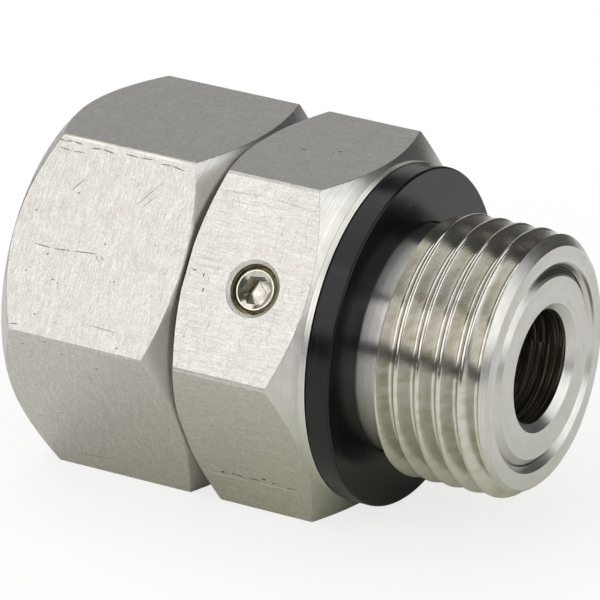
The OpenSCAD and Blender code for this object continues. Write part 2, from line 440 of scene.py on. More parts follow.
class Surface:
    """Patterns on one material, in millimetres, along and around the swivel axis.

    Attributes:
        tree: Node tree of the material.
        place: Point in millimetres.
        wrapped: Place along the axis, way round it at the flats' radius, and radius.
    """

    AROUND_RADIUS = 13.5

    def __init__(self, tree: bpy.types.NodeTree) -> None:
        """Prepares the coordinates.

        Args:
            tree: An emptied node tree.
        """
        self.tree = tree
        metres = add_node(tree, "ShaderNodeTexCoord").outputs["Object"]
        scaling = {0: metres, "Scale": 1 / MM}
        self.place = add_node(tree, "ShaderNodeVectorMath", scaling, operation="SCALE").outputs[0]
        parts = add_node(tree, "ShaderNodeSeparateXYZ", {0: self.place})
        across = add_node(tree, "ShaderNodeMath", {0: parts.outputs["Y"], 1: -1.0}, operation="MULTIPLY")
        sides = {0: parts.outputs["Z"], 1: across.outputs[0]}
        angle = add_node(tree, "ShaderNodeMath", sides, operation="ARCTAN2")
        rolled = {0: angle.outputs[0], 1: self.AROUND_RADIUS}
        around = add_node(tree, "ShaderNodeMath", rolled, operation="MULTIPLY")
        flat = add_node(tree, "ShaderNodeVectorMath", {0: self.place, 1: (0, 1, 1)}, operation="MULTIPLY")
        radius = add_node(tree, "ShaderNodeVectorMath", {0: flat.outputs[0]}, operation="LENGTH")
        wrapped = {"X": parts.outputs["X"], "Y": around.outputs[0], "Z": radius.outputs["Value"]}
        self.wrapped = add_node(tree, "ShaderNodeCombineXYZ", wrapped).outputs[0]

    def grain(self, spacing: Extent, seed: float, detail: float = 2.0, wrapped: bool = True) -> Socket:
        """Gives a noise that is stretched along the swivel axis, around it or outwards.

        Args:
            spacing: Size of its grain along, around and outwards.
            seed: Shifts the pattern.
            detail: Number of finer layers.
            wrapped: Whether it follows the wrapped place or the plain one.

        Returns:
            A value about 0.5, mostly between 0.3 and 0.7.
        """
        stretch = {
            "Vector": self.wrapped if wrapped else self.place,
            "Scale": tuple(1 / size for size in spacing),
            "Location": (seed, seed * 1.7, seed * 2.3),
        }
        scaled = add_node(self.tree, "ShaderNodeMapping", stretch)
        layers = {"Vector": scaled.outputs[0], "Scale": 1.0, "Detail": detail, "Roughness": 0.6}
        return add_node(self.tree, "ShaderNodeTexNoise", layers, noise_dimensions="3D").outputs["Fac"]

    def band(self, value: Socket, low: float, high: float) -> Socket:
        """Gives 0 where a value is at low and 1 where it is at high, clamped.

        Args:
            value: The value to spread.
            low: Where the result is 0.
            high: Where the result is 1; it may be below low.

        Returns:
            The spread value.
        """
        limits = {"Value": value, "From Min": low, "From Max": high, "To Min": 0.0, "To Max": 1.0}
        return add_node(self.tree, "ShaderNodeMapRange", limits, clamp=True).outputs["Result"]

    def scatter(
        self, cell: float, size: Extent, angle: float, share: float, seed: float, wrapped: bool
    ) -> Socket:
        """Gives short scratches or specks, at most one in each cell.

        Args:
            cell: Rough distance from one to the next.
            size: Length, width and depth of one.
            angle: Direction of its length, in degrees from the swivel axis.
            share: Share of the cells that have one.
            seed: Shifts the pattern.
            wrapped: Whether it follows the wrapped place or the plain one.

        Returns:
            1 in the middle of each and 0 beside it.
        """
        tree = self.tree
        turning = {
            "Vector": self.wrapped if wrapped else self.place,
            "Location": (seed, seed * 1.3, seed * 1.9),
            "Rotation": (0, 0, math.radians(angle)),
        }
        turned = add_node(tree, "ShaderNodeMapping", turning, vector_type="TEXTURE").outputs[0]
        grid = {"Vector": turned, "Scale": 1 / cell}
        cells = add_node(tree, "ShaderNodeTexVoronoi", grid, voronoi_dimensions="3D", feature="F1")
        middle = {0: turned, 1: cells.outputs["Position"]}
        offset = add_node(tree, "ShaderNodeVectorMath", middle, operation="SUBTRACT")
        widening = {0: offset.outputs[0], 1: tuple(2 / extent for extent in size)}
        shaped = add_node(tree, "ShaderNodeVectorMath", widening, operation="MULTIPLY")
        distance = add_node(tree, "ShaderNodeVectorMath", {0: shaped.outputs[0]}, operation="LENGTH")
        lot = add_node(tree, "ShaderNodeSeparateColor", {0: cells.outputs["Color"]}).outputs[0]
        taken = add_node(tree, "ShaderNodeMath", {0: lot, 1: share}, operation="LESS_THAN")
        both = {0: self.band(distance.outputs["Value"], 1.0, 0.5), 1: taken.outputs[0]}
        return add_node(tree, "ShaderNodeMath", both, operation="MULTIPLY").outputs[0]

    def marks(self, strokes: Sequence[Stroke], radius: float, reach: float) -> Socket:
        """Gives scratches that taper at both ends.

        Args:
            strokes: Start and end of each, as places along the axis and around it, and its width.
            radius: Distance from the axis at which they lie.
            reach: How far outwards and inwards from there they show.

        Returns:
            1 on a scratch and 0 beside it.
        """
        nearest: Any = ENDLESS
        for start, end, width in strokes:
            along = Vector(end) - Vector(start)
            placing = {
                "Vector": self.wrapped,
                "Location": ((start[0] + end[0]) / 2, (start[1] + end[1]) / 2, radius),
                "Rotation": (0, 0, math.atan2(along.y, along.x)),
                "Scale": ((along.length + width) / 2, width / 2, reach),
            }
            placed = add_node(self.tree, "ShaderNodeMapping", placing, vector_type="TEXTURE")
            distance = add_node(self.tree, "ShaderNodeVectorMath", {0: placed.outputs[0]}, operation="LENGTH")
            pair = {0: nearest, 1: distance.outputs["Value"]}
            nearest = add_node(self.tree, "ShaderNodeMath", pair, operation="MINIMUM").outputs[0]
        return self.band(nearest, 1.0, 0.6)

    def mix(self, factor: Socket, first: Any, second: Any) -> Socket:
        """Mixes two colours.

        Args:
            factor: Share of the second colour.
            first: Colour or socket.
            second: Colour or socket.

        Returns:
            The mixed colour.
        """
        sides = {0: factor, 6: first, 7: second}
        return add_node(self.tree, "ShaderNodeMix", sides, data_type="RGBA", blend_type="MIX").outputs[2]

    def weigh(self, parts: Sequence[tuple[Socket, float]], base: float = 0.0) -> Socket:
        """Adds up values with weights.

        Args:
            parts: Values with their weights.
            base: Value where all parts are 0.

        Returns:
            The sum.
        """
        total: Any = base
        for value, weight in parts:
            terms = {0: value, 1: weight, 2: total}
            total = add_node(self.tree, "ShaderNodeMath", terms, operation="MULTIPLY_ADD").outputs[0]
        return total


@dataclass(frozen=True, kw_only=True)
class Pattern:
    """Something that a finish shows: where it lies, and what it does to the surface there.

    Attributes:
        tone: Colour that it lays over what is below, or none.
        cover: How far that colour covers.
        rough: What it adds to the roughness.
        height: What it adds to the relief, as a share of the relief's depth.
    """

    tone: str = ""
    cover: float = 1.0
    rough: float = 0.0
    height: float = 0.0

    def draw(self, surface: Surface, seed: float) -> Socket:
        """Gives where the pattern is, from 0 to 1."""
        raise NotImplementedError


@dataclass(frozen=True)
class Grain(Pattern):
    """Fine lines, rings or clouds, as a tool, a drawing die or handling leaves them.

    Attributes:
        spacing: Size of the grain along the axis, around it and outwards.
        low: Value of the noise at which it starts.
        high: Value of the noise at which it is full.
        detail: Number of finer layers.
        wrapped: Whether it follows the way round the axis, or plain space.
    """

    spacing: Extent
    low: float = 0.35
    high: float = 0.65
    detail: float = 2.0
    wrapped: bool = True

    def draw(self, surface: Surface, seed: float) -> Socket:
        """Gives where the pattern is, from 0 to 1."""
        return surface.band(surface.grain(self.spacing, seed, self.detail, self.wrapped), self.low, self.high)


@dataclass(frozen=True)
class Scatter(Pattern):
    """Short straight scratches, or specks, strewn over the surface.

    Attributes:
        cell: Rough distance from one to the next.
        size: Length, width and depth of one.
        angle: Direction of its length, in degrees from the swivel axis.
        share: Share of the places that have one.
        wrapped: Whether it follows the way round the axis, or plain space.
    """

    cell: float
    size: Extent
    angle: float = 0.0
    share: float = 0.5
    wrapped: bool = True

    def draw(self, surface: Surface, seed: float) -> Socket:
        """Gives where the pattern is, from 0 to 1."""
        return surface.scatter(self.cell, self.size, self.angle, self.share, seed, self.wrapped)


@dataclass(frozen=True)
class Marks(Pattern):
    """Scratches and dents, each at a place of its own.

    Attributes:
        strokes: Start and end of each, as places along the axis and around it, and its width.
        radius: Distance from the axis at which they lie.
        reach: How far outwards and inwards from there they show.
    """

    strokes: tuple[Stroke, ...]
    radius: float = 0.0
    reach: float = ENDLESS

    def draw(self, surface: Surface, seed: float) -> Socket:
        """Gives where the pattern is, from 0 to 1."""
        return surface.marks(self.strokes, self.radius, self.reach)


def clouds(size: float, low: float, high: float, detail: float, **effect: Any) -> Grain:
    """Gives round clouds.

    Args:
        size: Size of one.
        low: Value of the noise at which they start.
        high: Value of the noise at which they are full.
        detail: Number of finer layers.
        effect: What they do to the surface.

    Returns:
        The pattern.
    """
    return Grain((size, size, size), low, high, detail, wrapped=False, **effect)


def scratches(cell: float, length: float, width: float, angle: float, share: float, **effect: Any) -> Scatter:
    """Gives short scratches.

    Args:
        cell: Rough distance from one to the next.
        length: Length of one.
        width: Width of one.
        angle: Its direction in degrees from the swivel axis.
        share: Share of the places that have one.
        effect: What they do to the surface.

    Returns:
        The pattern.
    """
    return Scatter(cell, (length, width, length), angle, share, **effect)


def specks(cell: float, across: float, share: float, **effect: Any) -> Scatter:
    """Gives round specks or pits.

    Args:
        cell: Rough distance from one to the next.
        across: Size of one.
        share: Share of the places that have one.
        effect: What they do to the surface.

    Returns:
        The pattern.
    """
    return Scatter(cell, (across, across, across), 0.0, share, wrapped=False, **effect)


def line(width: float, *points: Point) -> tuple[Stroke, ...]:
    """Gives a scratch that runs through several points.

    Args:
        width: Width of the scratch.
        points: Places along the axis and around it.

    Returns:
        One stroke for each stretch.
    """
    return tuple((start, end, width) for start, end in pairwise(points))


def dents(width: float, *places: Point) -> tuple[Stroke, ...]:
    """Gives small dents, each a little longer than wide.

    Args:
        width: Width of each.
        places: Places along the axis and around it.

    Returns:
        One stroke for each dent.
    """
    return tuple((place, (place[0] + width * 0.7, place[1] + width * 0.2), width) for place in places)


@dataclass(frozen=True)
class Finish:
    """What every finish has: a tone, a roughness, a relief and its patterns.

    Attributes:
        name: Name of the material.
        tone: Colour under all patterns.
        roughness: Roughness where no pattern adds to it.
        relief: Depth of a relief of 1.
        rings: How far close rings round the axis stretch the gloss along it, from 0 to 1.
        shader: Constant inputs of the shader.
        patterns: Patterns, the lowest first.
    """

    FIRST_SEED = 1.3
    NEXT_SEED = 2.9

    name: str = ""
    tone: str = "#ffffff"
    roughness: float = 0.3
    relief: float = 0.005
    rings: float = 0.0
    shader: Mapping[str, float] = field(default_factory=lambda: {"Metallic": 1.0})
    patterns: tuple[Pattern, ...] = ()

    def build(self) -> Material:
        """Makes the material."""
        material = bpy.data.materials.new(self.name)
        material.use_nodes = True
        tree = material.node_tree
        tree.nodes.clear()
        shader = add_node(tree, "ShaderNodeBsdfPrincipled", self.shader)
        add_node(tree, "ShaderNodeOutputMaterial", {"Surface": shader.outputs[0]})
        surface = Surface(tree)
        if self.rings:
            shader.inputs["Anisotropic"].default_value = self.rings
            shader.inputs["Anisotropic Rotation"].default_value = 0.25
            round_axis = add_node(tree, "ShaderNodeTangent", direction_type="RADIAL", axis="X")
            tree.links.new(round_axis.outputs[0], shader.inputs["Tangent"])
        colour: Any = linear(self.tone)
        roughness = []
        heights = []
        for number, pattern in enumerate(self.patterns):
            where = pattern.draw(surface, self.FIRST_SEED + self.NEXT_SEED * number)
            if pattern.tone:
                colour = surface.mix(surface.weigh([(where, pattern.cover)]), colour, linear(pattern.tone))
            if pattern.rough:
                roughness.append((where, pattern.rough))
            if pattern.height:
                heights.append((where, pattern.height))
        tree.links.new(colour, shader.inputs["Base Color"])
        if roughness:
            tree.links.new(surface.weigh(roughness, self.roughness), shader.inputs["Roughness"])
        else:
            shader.inputs["Roughness"].default_value = self.roughness
        if heights:
            relief = {"Strength": 1.0, "Distance": self.relief * MM, "Height": surface.weigh(heights, 0.5)}
            bump = add_node(tree, "ShaderNodeBump", relief)
            tree.links.new(bump.outputs[0], shader.inputs["Normal"])
        return material


HANDLED = (
    clouds(0.3, 0.5, 0.66, 3.0, tone="#dcd8ce", cover=0.4, rough=0.05),
    clouds(1.1, 0.42, 0.7, 4.0, tone="#bfbbb0", cover=0.25, rough=0.05),
)


@dataclass(frozen=True)
class SpindleFlats(Finish):
    """Stainless hexagonal bar, ground across its flats and then handled.

    The eye gets a bright satin with fine streaks round the axis, small pits, short scratches and a few
    deep ones.
    """

    name: str = "stainless_flats_ground_across"
    tone: str = "#cbcac6"
    roughness: float = 0.3
    relief: float = 0.006
    patterns: tuple[Pattern, ...] = (
        Grain((0.1, 1.1, 1.1), tone="#a5a39b", cover=0.42, rough=0.05, height=0.45),
        Grain((0.11, 0.17, 0.17), 0.42, 0.6, tone="#9e9a90", cover=0.42, height=0.5),
        *HANDLED,
        scratches(0.8, 0.7, 0.035, 74, 0.5, tone="#7f7a6e", cover=0.45, height=-0.6),
        scratches(1.1, 0.9, 0.04, 98, 0.4, tone="#ffffff", cover=0.5, height=0.4),
        scratches(1.6, 0.9, 0.04, 12, 0.4, tone="#8b867b", cover=0.5, height=-0.5),
        scratches(1.2, 0.5, 0.05, 35, 0.4, tone="#6f6a5e", cover=0.5, height=-0.6),
        specks(0.55, 0.09, 0.4, tone="#6f6a5e", cover=0.7, height=-0.8),
        specks(2.0, 0.17, 0.4, tone="#5d5749", cover=0.8, height=-1.2),
        # Pale line along the rounded long edge between the facing flat and the top flat: a painted highlight
        # of that edge.
        Marks(line(0.22, (-25.1, 14.02), (-19.0, 14.04), (-13.2, 13.97)), tone="#ebe6d6", cover=0.45),
        Marks(
            (
                *line(0.08, (-16.93, 10.48), (-15.0, 12.72)),
                *line(0.07, (-16.3, 10.5), (-15.3, 11.6)),
                *line(0.08, (-18.32, 1.41), (-15.12, 1.33)),
                *line(0.08, (-25.44, -9.45), (-22.33, -9.33)),
                *line(0.08, (-24.17, -8.57), (-20.44, -8.41)),
                *line(0.1, (-22.98, -12.97), (-18.49, -12.52)),
                *line(0.08, (-18.81, -3.01), (-17.87, -3.38)),
            ),
            tone="#827d71",
            cover=0.55,
            height=-1.0,
        ),
        Marks(
            (
                *line(0.1, (-24.9, 13.78), (-24.2, 13.72), (-23.5, 13.8), (-22.6, 13.72)),
                *line(0.07, (-24.6, 13.3), (-23.4, 13.2), (-22.2, 13.28)),
                *line(0.1, (-21.9, 13.62), (-20.9, 13.72), (-19.7, 13.6)),
                *line(0.09, (-18.9, 13.74), (-17.6, 13.7), (-16.4, 13.76)),
                *line(0.1, (-15.8, 13.6), (-14.8, 13.66), (-13.5, 13.5)),
                *line(0.09, (-22.6, 10.5), (-21.6, 11.7)),
                *line(0.1, (-24.5, 6.18), (-22.7, 6.1), (-21.1, 6.23), (-18.7, 6.47)),
                *line(0.08, (-18.98, 6.35), (-18.51, 5.82)),
                *line(0.07, (-18.6, 6.35), (-18.15, 6.05)),
                *line(0.1, (-24.5, 0.41), (-23.81, 0.47)),
                *dents(0.15, (-18.5, 7.3), (-23.05, 5.58), (-22.03, 3.84), (-25.02, 8.64), (-21.91, 10.56)),
                *dents(0.13, (-24.46, 4.06), (-21.53, 3.68), (-16.86, 4.69), (-15.11, 0.42), (-22.71, 1.29)),
                *dents(0.14, (-21.44, -0.34), (-20.23, -1.16), (-23.66, -1.05), (-17.37, -1.86)),
            ),
            tone="#4e483b",
            cover=0.8,
        ),
    )


@dataclass(frozen=True)
class HousingFlats(Finish):
    """Stainless hexagonal bar, drawn along its length and then rubbed crosswise.

    The eye gets a bright satin with faint lines along the axis, a light crosshatch and small dark pits.
    """

    name: str = "stainless_flats_drawn"
    tone: str = "#cbcac6"
    roughness: float = 0.3
    relief: float = 0.006
    patterns: tuple[Pattern, ...] = (
        Grain((1.6, 0.1, 1.1), tone="#a7a59c", cover=0.35, rough=0.05, height=0.4),
        Grain((0.15, 0.13, 0.13), 0.42, 0.6, tone="#9e9a90", cover=0.42, height=0.5),
        *HANDLED,
        scratches(1.0, 1.6, 0.035, 86, 0.4, tone="#837e72", cover=0.45, height=-0.6),
        scratches(1.3, 1.5, 0.035, 118, 0.4, tone="#837e72", cover=0.45, height=-0.6),
        scratches(1.3, 1.3, 0.035, 55, 0.35, tone="#837e72", cover=0.45, height=-0.5),
        scratches(1.1, 1.3, 0.04, 2, 0.4, tone="#ffffff", cover=0.5, height=0.4),
        specks(0.5, 0.09, 0.45, tone="#6a6559", cover=0.75, height=-0.8),
        specks(1.8, 0.18, 0.4, tone="#5d5749", cover=0.8, height=-1.2),
        Marks(line(0.16, (-10.69, -11.27), (-6.2, -11.22), (-1.69, -11.09)), tone="#e9e8dc", cover=0.6),
        Marks(
            (
                *line(0.1, (-11.1, 7.97), (-8.19, 8.05)),
                *line(0.08, (-11.05, 7.45), (-8.01, 7.47)),
                *line(0.1, (-10.6, 12.9), (-6.0, 13.1), (-1.8, 12.8)),
            ),
            tone="#96938a",
            cover=0.5,
            height=-0.6,
        ),
        Marks(
            (
                *line(0.14, (-9.65, 6.89), (-9.6, 6.6)),
                *line(0.14, (-9.34, 5.78), (-9.34, 5.5)),
                *line(0.12, (-10.68, 6.98), (-10.3, 6.95)),
                *dents(0.24, (-5.0, 21.5), (-7.6, 20.4), (-5.2, -10.6), (-8.9, -10.9)),
                *dents(0.17, (-4.4, -10.8), (-7.9, -10.8), (-5.3, 20.9), (-9.0, 19.3)),
                *line(0.13, (-7.7, -10.8), (-6.9, -10.95)),
                *line(0.12, (-6.6, -10.9), (-5.4, -10.8)),
                *line(0.12, (-3.3, -10.95), (-2.4, -10.9)),
            ),
            tone="#2f2c22",
            cover=0.85,
        ),
    )


@dataclass(frozen=True)
class TurnedFaces(Finish):
    """Stainless steel turned on a lathe: bright, with fine rings, and painted shade in the gap at the end
    face.
    """

    name: str = "stainless_turned"
    tone: str = "#cdccc8"
    roughness: float = 0.27
    relief: float = 0.004
    patterns: tuple[Pattern, ...] = (
        Grain((0.11, 40.0, 0.11), tone="#b9b7b1", cover=0.45, rough=0.06, height=0.6),
        Grain((0.4, 30.0, 0.4), tone="#bab8b0", cover=0.35, height=0.5),
        clouds(1.2, 0.4, 0.7, 4.0, tone="#bcbab2", cover=0.4, rough=0.06),
        specks(0.8, 0.09, 0.4, tone="#77736a", cover=0.7, height=-0.8),
        # Dark brown band over the nose chamfer and the bore's mouth chamfer: painted shade of the narrow
        # V-groove between them, with added roughness.
        Marks(
            (*line(0.55, (13.0, 15.8), (13.0, 34.0)), *line(0.3, (13.2, 28.0), (13.2, 43.0))),
            radius=7.5,
            reach=0.9,
            tone="#3b342a",
            cover=0.85,
            rough=0.15,
        ),
    )


@dataclass(frozen=True)
class TurnedNeck(Finish):
    """Stainless steel turned with a pointed tool: close rings that spread the light along the axis only."""

    name: str = "stainless_turned_with_a_point"
    tone: str = "#d2d1cd"
    roughness: float = 0.3
    relief: float = 0.006
    rings: float = 0.95
    patterns: tuple[Pattern, ...] = (
        Grain((0.1, 60.0, 0.1), 0.3, 0.7, 1.0, tone="#b9b7b1", cover=0.5, height=1.0),
        clouds(1.2, 0.4, 0.7, 4.0, tone="#bcbab2", cover=0.4, rough=0.06),
        specks(0.8, 0.09, 0.4, tone="#77736a", cover=0.7, height=-0.3),
    )


@dataclass(frozen=True)
class ThreadFlanks(Finish):
    """Stainless thread cut with a form tool: smooth flanks, torn a little along the cut."""

    name: str = "stainless_thread_cut"
    tone: str = "#cfcdc6"
    roughness: float = 0.22
    relief: float = 0.002
    rings: float = 0.8
    patterns: tuple[Pattern, ...] = (
        Grain((0.09, 1.8, 0.09), tone="#c0bdb3", cover=0.35, height=0.6),
        Grain((0.7, 2.5, 0.7), 0.48, 0.68, 3.0, wrapped=False, tone="#a79e80", cover=0.5),
        specks(0.6, 0.09, 0.4, tone="#6b665a", cover=0.8, height=-0.8),
        specks(1.7, 0.17, 0.35, tone="#4b463b", cover=0.8, height=-0.8),
    )


@dataclass(frozen=True)
class DrilledBore(Finish):
    """Bore left as drilled: dull walls with thin drill rings, the brownish dark tone painted shade deep
    inside the bore.
    """

    name: str = "stainless_bore_drilled_painted_shade"
    # Brownish dark tone and the darker grain's colour: painted shade deep in the bore; the bright rings keep
    # near the steel's own tone and carry relief.
    tone: str = "#716a5c"
    roughness: float = 0.36
    relief: float = 0.014
    rings: float = 0.6
    patterns: tuple[Pattern, ...] = (
        Grain((0.14, 30.0, 0.14), 0.5, 0.62, 1.0, tone="#c9c3b5", cover=0.7, height=0.8),
        Grain((0.3, 9.0, 0.3), 0.45, 0.6, tone="#37312a", cover=0.6, height=-0.5),
    )


@dataclass(frozen=True)
class TappedWall(Finish):
    """Wall of the tapped filling hole: a dark olive copy of the steel, as painted shade in the hole behind
    the bright screw.
    """

    name: str = "stainless_tapped_wall_painted_shade"
    # Dark olive tone and the darker clouds' colour: painted shade inside the filling hole; the clouds also
    # carry a bump relief.
    tone: str = "#a39b7c"
    roughness: float = 0.4
    relief: float = 0.01
    patterns: tuple[Pattern, ...] = (clouds(0.4, 0.4, 0.65, 4.0, tone="#57503a", cover=0.7, height=0.6),)


@dataclass(frozen=True)
class Countersunk(Finish):
    """Face of the countersink: cut dull by a hand tool, with small dark chatter marks; its tone, lighter than
    the rest of the steel, is a painted highlight for the bright countersink ring.
    """

    name: str = "stainless_countersunk_dull_painted_highlight"
    # Lighter tone than the bar's other faces: painted highlight of the countersink ring.
    tone: str = "#e9eae4"
    roughness: float = 0.42
    relief: float = 0.02
    patterns: tuple[Pattern, ...] = (
        clouds(0.13, 0.4, 0.65, 3.0, tone="#bdbdb0", cover=0.6, height=0.8),
        specks(0.35, 0.09, 0.45, tone="#5d5a4a", cover=0.8, height=-0.6),
    )


@dataclass(frozen=True)
class ScrewSteel(Finish):
    """Stainless set screw: cold-headed socket and rolled thread, brighter and smoother than the bar."""

    name: str = "stainless_set_screw"
    tone: str = "#cdcac0"
    roughness: float = 0.16
    relief: float = 0.008
    patterns: tuple[Pattern, ...] = (
        clouds(0.5, 0.4, 0.7, 4.0, tone="#a9a493", cover=0.6, rough=0.12, height=0.6),
        specks(0.35, 0.08, 0.4, tone="#5b564a", cover=0.8, height=-0.8),
    )


@dataclass(frozen=True)
class TurnedSealRing(Finish):
    """Black sealing ring cut from moulded tube: satin black with fine rings and some dust."""

    name: str = "seal_ring_black"
    tone: str = "#070708"
    roughness: float = 0.17
    relief: float = 0.004
    shader: Mapping[str, float] = field(default_factory=lambda: {"IOR": 1.36})
    patterns: tuple[Pattern, ...] = (
        Grain((0.13, 9.0, 0.13), tone="#171718", cover=0.7, rough=0.05, height=0.5),
        clouds(3.0, 0.4, 0.7, 3.0, rough=0.06),
        scratches(3.2, 1.1, 0.05, 60, 0.35, tone="#4b4b4c", cover=0.5),
        specks(1.6, 0.08, 0.3, tone="#b0b0ae", cover=0.8),
    )


@dataclass(frozen=True)
class LappedBalls(Finish):
    """Hardened ball steel: lapped to a mirror, with the faintest cloudiness."""

    name: str = "ball_steel_lapped"
    tone: str = "#d6d6d4"
    roughness: float = 0.06
    patterns: tuple[Pattern, ...] = (clouds(0.8, 0.4, 0.7, 3.0, tone="#bdbdba", cover=0.6, rough=0.05),)


@dataclass(frozen=True)
class MouldedNitrile(Finish):
    """Moulded nitrile O-ring: deep black and faintly greasy."""

    name: str = "nitrile_moulded"
    tone: str = "#161617"
    roughness: float = 0.4
    relief: float = 0.008
    shader: Mapping[str, float] = field(default_factory=lambda: {"IOR": 1.52})
    patterns: tuple[Pattern, ...] = (clouds(0.7, 0.4, 0.75, 4.0, tone="#29292a", rough=0.12, height=0.6),)


@dataclass(frozen=True)
class MachinedPtfe(Finish):
    """Machined PTFE: waxy white with faint turning rings."""

    name: str = "ptfe_machined"
    tone: str = "#e9e7e0"
    roughness: float = 0.4
    relief: float = 0.008
    shader: Mapping[str, float] = field(default_factory=lambda: {"IOR": 1.38})
    patterns: tuple[Pattern, ...] = (Grain((0.12, 20.0, 0.12), tone="#d5d2c8", rough=0.1, height=0.6),)


class Finishes:
    """Every material of the joint, made once and shared."""

    def __init__(self) -> None:
        """Builds all materials."""
        self.spindle_flats = SpindleFlats().build()
        self.housing_flats = HousingFlats().build()
        self.turned = TurnedFaces().build()
        self.neck = TurnedNeck().build()
        self.thread = ThreadFlanks().build()
        self.bore = DrilledBore().build()
        self.tapped = TappedWall().build()
        self.countersunk = Countersunk().build()
        self.screw = ScrewSteel().build()
        self.seal_ring = TurnedSealRing().build()
        self.balls = LappedBalls().build()
        self.rubber = MouldedNitrile().build()
        self.ptfe = MachinedPtfe().build()


@dataclass(frozen=True)
class CornerCone:
    """A cone that turns the corners off a hexagon at one of its ends.

    Attributes:
        face_r: Radius at which it meets the end face.
        length: Length from there to the corners' edge.
        land: Length of the round land in front of it.
    """

    face_r: float
    length: float
    land: float = 0.0

    def outline(self, end_x: float, inwards: int, corner_r: float) -> list[Point]:
        """Gives its outline from the axis to outside the corners.

        Args:
            end_x: Place of the end face.
            inwards: 1 if the hexagon lies towards +X from there, and -1 if not.
            corner_r: Radius over the hexagon's corners.

        Returns:
            The points as (x, radius).
        """
        outside_r = corner_r + PAST
        slope = self.length / (corner_r - self.face_r)
        foot_x = end_x + inwards * self.land
        points = [(end_x, 0), (end_x, self.face_r)]
        if self.land:
            points.append((foot_x, self.face_r))
        return [*points, (foot_x + inwards * slope * (outside_r - self.face_r), outside_r)]


@dataclass(frozen=True)
class Hexagon:
    """One of the two hexagons, between its corner cones.

    Attributes:
        name: Name of the new piece.
        start: Cone at the -X end.
        end: Cone at the +X end.
        edge: Width of the rounding of its long edges.
        broken: Width of the rounding of its turned edges.
        across_flats: Width across the flats.
    """

    name: str
    start: CornerCone
    end: CornerCone
    edge: float
    broken: float = 0.035
    across_flats: float = (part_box("housing")[1].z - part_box("housing")[0].z) / MM

    def make(self, x_start: float, x_end: float, flats: Material, turned: Material) -> Piece:
        """Cuts the hexagon from bar and turns both of its ends.

        Args:
            x_start: Place of its -X face.
            x_end: Place of its +X face.
            flats: Finish of the flats.
            turned: Finish of the cones and faces.

        Returns:
            The closed piece.
        """
        corner_r = self.across_flats / 2 / math.cos(math.radians(30))
        bar = hexagonal_bar(self.name, (x_start - PAST, x_end + PAST), self.across_flats, self.edge, flats)
        outline = self.start.outline(x_start, 1, corner_r) + self.end.outline(x_end, -1, corner_r)[::-1]
        use_tool(bar, turn("corner cones", outline, turned), Cut.KEEP_COMMON)
        break_edges(bar, self.broken)
        return bar


@dataclass(frozen=True)
class Race:
    """The ball race, whose groove both the stem and the bore carry.

    Attributes:
        first_ball: Middle of the first ball.
        groove_r: Radius of the groove's section.
        arc_segments: Straight stretches along the groove's section.
    """

    first_ball: Vector = (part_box("ball_01")[0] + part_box("ball_01")[1]) / 2 / MM
    groove_r: float = 1.6
    arc_segments: int = 16

    @property
    def x(self) -> float:
        """Place of the race's plane."""
        return self.first_ball.x

    @property
    def centre_r(self) -> float:
        """Radius on which the balls run."""
        return self.first_ball.yz.length

    def groove(self, wall_r: float, inwards: bool) -> list[Point]:
        """Gives the groove's section in a wall, from -X to +X.

        Args:
            wall_r: Radius of the wall that it is cut into.
            inwards: True on the stem, False in the bore.

        Returns:
            The points as (x, radius).
        """
        tilt = math.degrees(math.asin((wall_r - self.centre_r) / self.groove_r))
        end = 360 + tilt if inwards else tilt
        return arc((self.x, self.centre_r), self.groove_r, 180 - tilt, end, self.arc_segments)


@dataclass(frozen=True)
class FillingHole:
    """The tapped hole through the front hexagon's flat, by which the balls go in.

    It is modelled about the swivel axis, with x as the distance from there, and then stood up.

    Attributes:
        x: Place of its axis.
        tilt: Turn of its axis from the vertical, in degrees, towards -Y.
        off_centre: Distance of its axis from the middle of the flat.
        flat: Distance of the flat from the swivel axis.
        thread: The thread that its tap cuts.
        worn_len: Length below the flat over which its thread is drilled nearly away.
        worn_r: Radius of the hole there.
        overlap: Length over which the thread's shape runs on into the worn one.
        countersink_r: Radius of its countersink at the flat.
    """

    x: float
    tilt: float = 60.0
    off_centre: float = 0.5
    flat: float = 13.5
    thread: RoundedThread = RoundedThread(2.04, 0.7, 30, 0.1263, 0.12, SMALL_STEPS)
    worn_len: float = 0.95
    worn_r: float = 1.96
    overlap: float = 0.5
    countersink_r: float = 2.25

    def stand(self, piece: Piece) -> Piece:
        """Turns a piece from the swivel axis to the hole's axis.

        Args:
            piece: A piece modelled about the X axis.

        Returns:
            The same piece.
        """
        upright = Matrix.Rotation(math.radians(-90), 4, "Y")
        beside = Matrix.Translation((0, -self.off_centre * MM, 0))
        leaning = Matrix.Rotation(math.radians(self.tilt), 4, "X")
        settle(piece, Matrix.Translation((self.x * MM, 0, 0)) @ leaning @ beside @ upright)
        return piece

    def tapping(self, start_r: float, finish: Material) -> Piece:
        """Makes the shape of the tapped wall.

        Args:
            start_r: Distance from the swivel axis at which it starts.
            finish: Finish of the wall.

        Returns:
            The closed shape, standing in its place.
        """
        worn_x = self.flat - self.worn_len
        outline = [
            (start_r, 0),
            (start_r, self.thread.root_r),
            (worn_x, self.thread.root_r),
            (worn_x, self.worn_r),
            (self.flat + PAST, self.worn_r),
            (self.flat + PAST, 0),
        ]
        shape = turn("filling hole", outline, finish, SMALL_STEPS)
        rod = self.thread.rod("filling hole thread", start_r, worn_x + self.overlap, finish)
        use_tool(shape, rod, Cut.JOIN)
        return self.stand(shape)

    def countersink(self, finish: Material) -> Piece:
        """Makes the cone of the countersink.

        Args:
            finish: Finish of its face.

        Returns:
            The closed shape, standing in its place.
        """
        mouth = (self.flat + PAST, self.countersink_r + PAST)
        outline = [(mouth[0] - mouth[1], 0), mouth, (mouth[0], 0)]
        return self.stand(turn("countersink", outline, finish, SMALL_STEPS))


